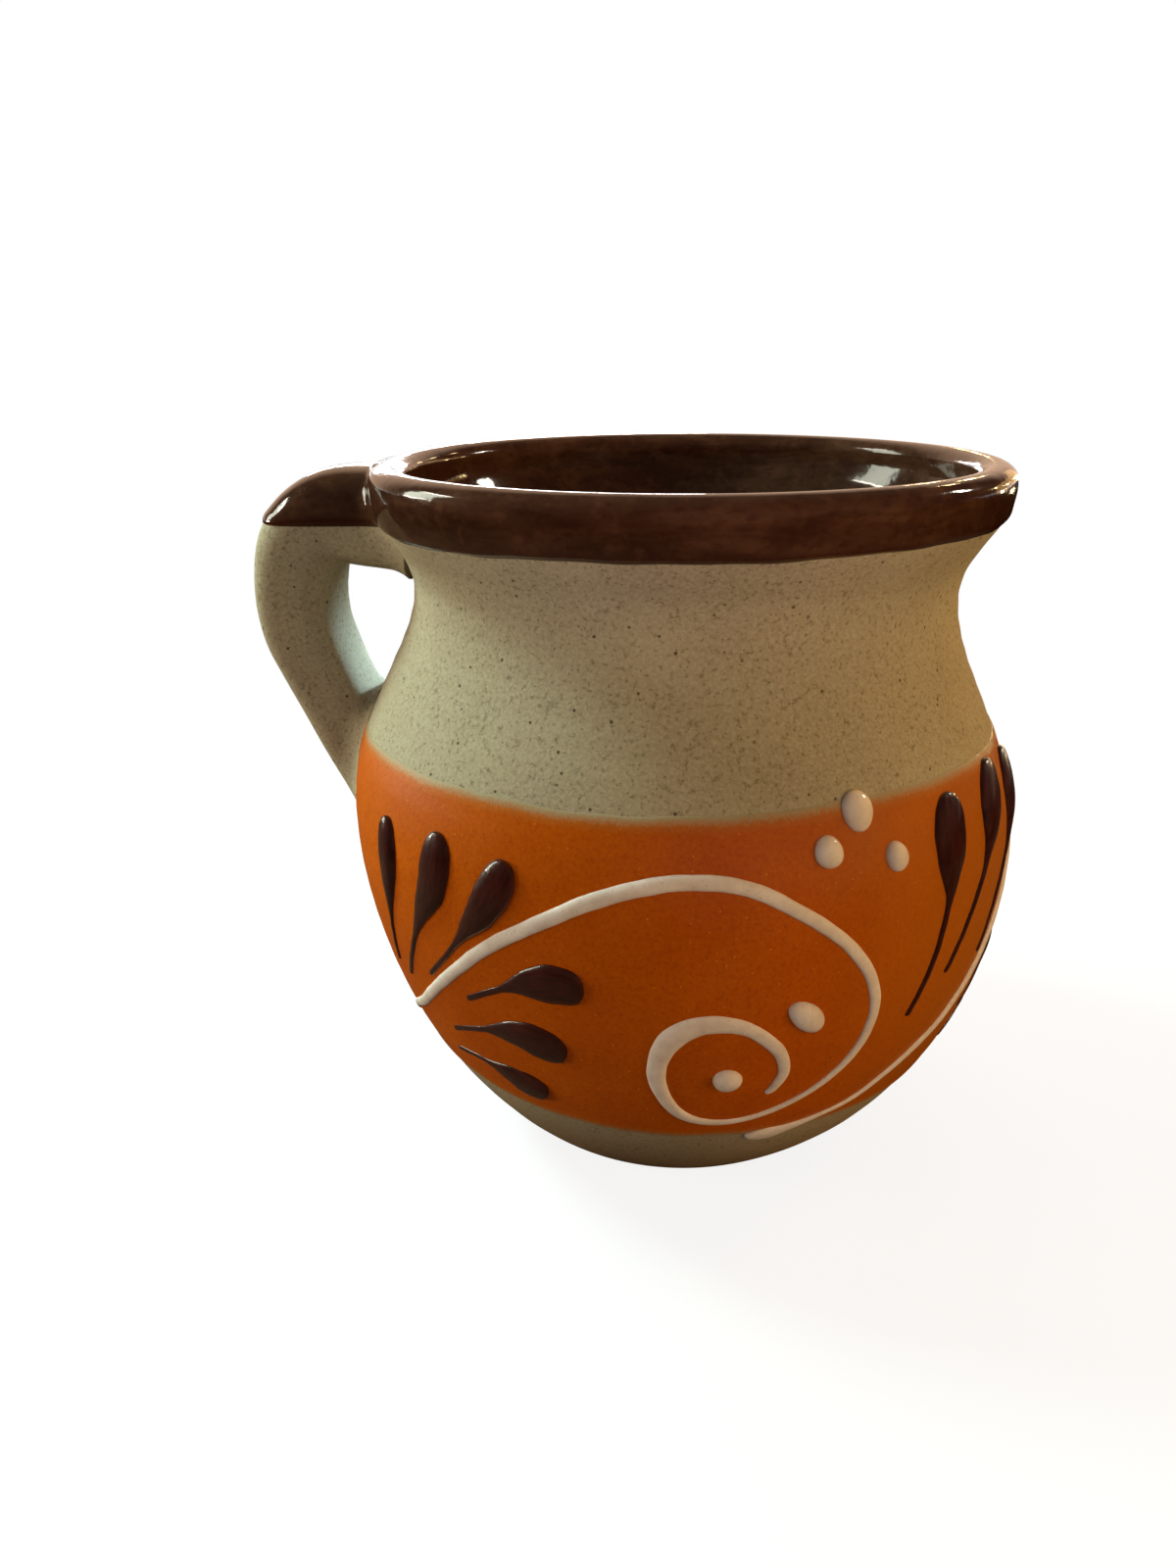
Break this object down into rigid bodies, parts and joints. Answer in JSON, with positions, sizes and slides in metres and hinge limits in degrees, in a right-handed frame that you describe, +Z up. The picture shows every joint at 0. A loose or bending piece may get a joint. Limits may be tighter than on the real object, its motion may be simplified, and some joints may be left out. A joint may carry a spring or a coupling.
{
  "type": "clay mug",
  "caption": "Small round-bellied clay mug with a flared glazed lip, a strap handle and a slip band with raised scrolls, petal fans and dots.",
  "frame": {"origin": "centre of the flat foot, on the pot's axis, on the surface that the mug stands on", "axes": "+Z up along the pot's axis; -X out through the handle; -Y out of the front, where the first scroll is"},
  "size_m": [0.1066, 0.0943, 0.0963],
  "materials": {
    "clay": "matte unglazed clay with fine grain and dark specks",
    "brown_glaze": "high gloss chestnut-brown glaze",
    "orange_slip": "satin burnt-orange slip",
    "white_slip": "satin cream slip, trailed in relief",
    "dark_slip": "glossy dark chocolate slip, trailed in relief"
  },
  "bodies": {
    "root": {"pot_body": "clay", "handle": "clay", "rim_and_lining_glaze": "brown_glaze", "handle_glaze": "brown_glaze", "slip_band": "orange_slip", "scroll_1": "white_slip", "scroll_2": "white_slip", "scroll_3": "white_slip", "petal_1_1": "dark_slip", "petal_1_2": "dark_slip", "petal_1_3": "dark_slip", "petal_1_4": "dark_slip", "petal_1_5": "dark_slip", "petal_1_6": "dark_slip", "petal_2_1": "dark_slip", "petal_2_2": "dark_slip", "petal_2_3": "dark_slip", "petal_2_4": "dark_slip", "petal_2_5": "dark_slip", "petal_2_6": "dark_slip", "petal_3_1": "dark_slip", "petal_3_2": "dark_slip", "petal_3_3": "dark_slip", "petal_3_4": "dark_slip", "petal_3_5": "dark_slip", "petal_3_6": "dark_slip", "dot_1_1": "white_slip", "dot_1_2": "white_slip", "dot_1_3": "white_slip", "dot_1_4": "white_slip", "dot_1_5": "white_slip", "dot_2_1": "white_slip", "dot_2_2": "white_slip", "dot_2_3": "white_slip", "dot_2_4": "white_slip", "dot_2_5": "white_slip", "dot_3_1": "white_slip", "dot_3_2": "white_slip", "dot_3_3": "white_slip", "dot_3_4": "white_slip", "dot_3_5": "white_slip"}
  },
  "joints": []
}
